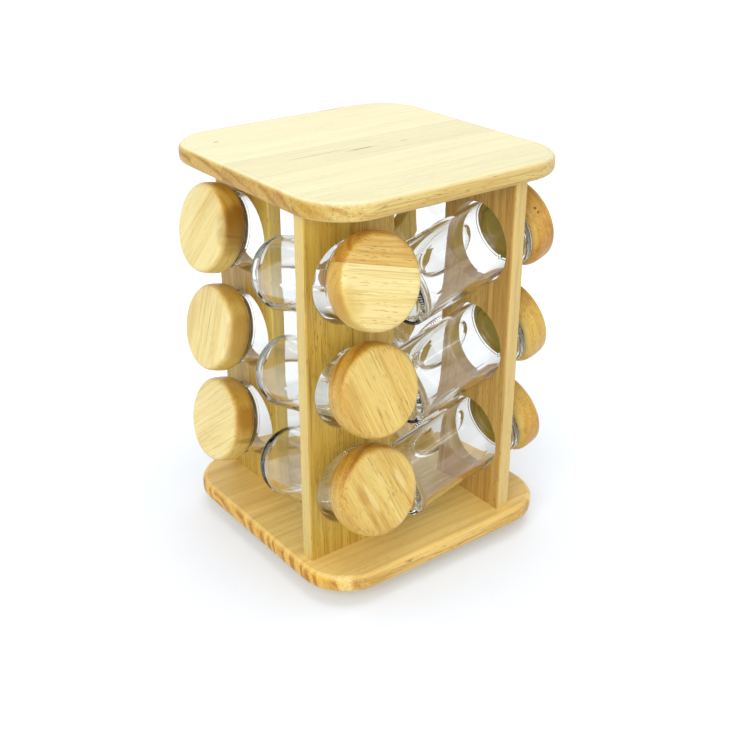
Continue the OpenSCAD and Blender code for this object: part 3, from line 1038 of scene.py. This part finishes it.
def stopper_outline():
    """Corners from the middle of the closed end, over the fins and down inside the cup."""
    end = LID_BACK - STOPPER_H
    bore = STOPPER_R - STOPPER_WALL
    outline = [(0, end + DISH_DEPTH), (DISH_R - DISH_DEPTH, end + DISH_DEPTH), (DISH_R, end)]
    outline += [(GROOVE_R - GROOVE_W, end), (GROOVE_R, end + DISH_DEPTH), (GROOVE_R + GROOVE_W, end)]
    outline.append((STOPPER_R, end, END_R))
    for fin in range(FIN_COUNT):
        low = end + FIN_START + fin * FIN_STEP
        outline += [(STOPPER_R, low), (FIN_R, low, FIN_EDGE_R)]
        outline += [(FIN_R, low + FIN_T, FIN_EDGE_R), (STOPPER_R, low + FIN_T)]
    outline += [(STOPPER_R, LID_BACK), (bore, LID_BACK)]
    floor_inside = end + DISH_DEPTH + STOPPER_WALL
    return outline + [(bore, floor_inside), (0, floor_inside)]


print("a stopper has", len(stopper_outline()), "corners in its outline")

# %% [markdown]
# The plastic is yellowish and lets some light in, which looks olive inside the glass.
# A plain colour would look like paint, so a little light travels under its skin, and a
# faint cloud varies its tone.

# %% Mould the stoppers
STOPPER_TONES = (tone(150, 132, 54), tone(176, 158, 76))
STOPPER_ROUGH = 0.28
PLASTIC_IOR = 1.45
UNDER_SKIN = 0.3
UNDER_SKIN_REACH = 2 * MM


def stopper_plastic():
    finish = new_finish("stopper_plastic")
    cloud = finish.noise(finish.here(), 120.0, 3.0)
    colour = finish.blend(cloud, *STOPPER_TONES)
    shader = finish.surface(Base_Color=colour, Roughness=STOPPER_ROUGH, IOR=PLASTIC_IOR)
    shader.node.inputs["Subsurface Weight"].default_value = UNDER_SKIN
    shader.node.inputs["Subsurface Scale"].default_value = UNDER_SKIN_REACH
    return finish.show(shader)


soft_plastic = stopper_plastic()
for place in PLACES:
    cup = turned(stopper_outline(), STOPPER_STEPS, STOPPER_SEGMENTS)
    seat = lid_seats[place][0]
    stopper = finished(cup, f"stopper_{place}", soft_plastic, seat, f"lid_{place}")
    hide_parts(f"seal_{place}")
print("twelve stoppers, each of", len(stopper.data.polygons), "faces")

# %% [markdown]
# The turntable is two plates of pressed, zinc-plated steel with a ring of bright balls
# between them. Zinc has a cloudy, slightly blue-grey skin with fine scratches, so one
# recipe serves the plates, the balls and the screws, with other tones and gloss.

# %% Finish the steel
DULL_ZINC = tone(120, 124, 130)
DULL_SHARE = 0.35
CLOUD_RANGE = (0.3, 0.7)
SHINIEST = 0.06
DULLEST = 0.12
SCRATCHES = (900, 90, 900)


def plated_steel(name, colour, rough, cloud_size):
    """Zinc-plated steel of a tone and a roughness, with clouds of a size."""
    finish = new_finish(name)
    here = finish.here()
    cloud = finish.noise(here, cloud_size, 4.0)
    scratch = finish.noise(finish.vector("MULTIPLY", here, SCRATCHES), 1.0, 2.0)
    dull = finish.blend(DULL_SHARE, colour, DULL_ZINC)
    shade = finish.blend(finish.spread(cloud, *CLOUD_RANGE), colour, dull)
    roughness = finish.spread(cloud, *CLOUD_RANGE, rough - SHINIEST, rough + DULLEST)
    relief = finish.add("Bump", {"Strength": 0.1, "Distance": 0.05 * MM, "Height": scratch})
    shader = finish.surface(Base_Color=shade, Roughness=roughness, Normal=relief)
    shader.node.inputs["Metallic"].default_value = 1.0
    return finish.show(shader)


screw_steel = plated_steel("screw_steel", tone(176, 172, 160), 0.3, 400.0)
coat("upper_bearing_plate", plated_steel("upper_plate_steel", tone(190, 192, 194), 0.34, 90.0))
coat("lower_bearing_plate", plated_steel("lower_plate_steel", tone(184, 187, 190), 0.36, 90.0))
coat("bearing_balls", plated_steel("ball_steel", tone(205, 206, 208), 0.14, 300.0))
coat("bearing_screws", screw_steel)
coat("board_screws", screw_steel)
print("five steel pieces have their finish")

# %% [markdown]
# The feet are dull rubber and the dowels are beech. Little of this shows, but the rack
# can be turned over. The beech is grown as the rubberwood is, with narrower rings, pinker
# tones and hardly any pores.

# %% Finish the feet and the dowels
RUBBER_TONES = (tone(44, 43, 42), tone(62, 60, 58))
BEECH_TONES = (tone(226, 190, 146), tone(212, 170, 124), tone(190, 146, 100))


def foot_rubber():
    finish = new_finish("foot_rubber")
    grain = finish.noise(finish.here(), 2500.0, 3.0)
    colour = finish.blend(grain, *RUBBER_TONES)
    relief = finish.add("Bump", {"Strength": 0.3, "Distance": 0.05 * MM, "Height": grain})
    return finish.show(finish.surface(Base_Color=colour, Roughness=0.75, Normal=relief))


def dowel_wood():
    finish = new_finish("dowel_wood")
    log = log_space(finish, (0.03, 0.02, 0), ALONG_Z)
    wood, height, _ = grown(finish, log, (0, 0, 1), BEECH_TONES, ring=3.0, pores=0.3)
    return satin(finish, wood, height, rough=0.6, varnish=0.0)


coat("rubber_feet", foot_rubber())
coat("top_dowels", dowel_wood())
print("the feet and the dowels have their finish")

# %% [markdown]
# The looks must not change the rack's size. Last, the scene is brought up to date.

# %% Bring the scene up to date
bpy.context.view_layer.update()
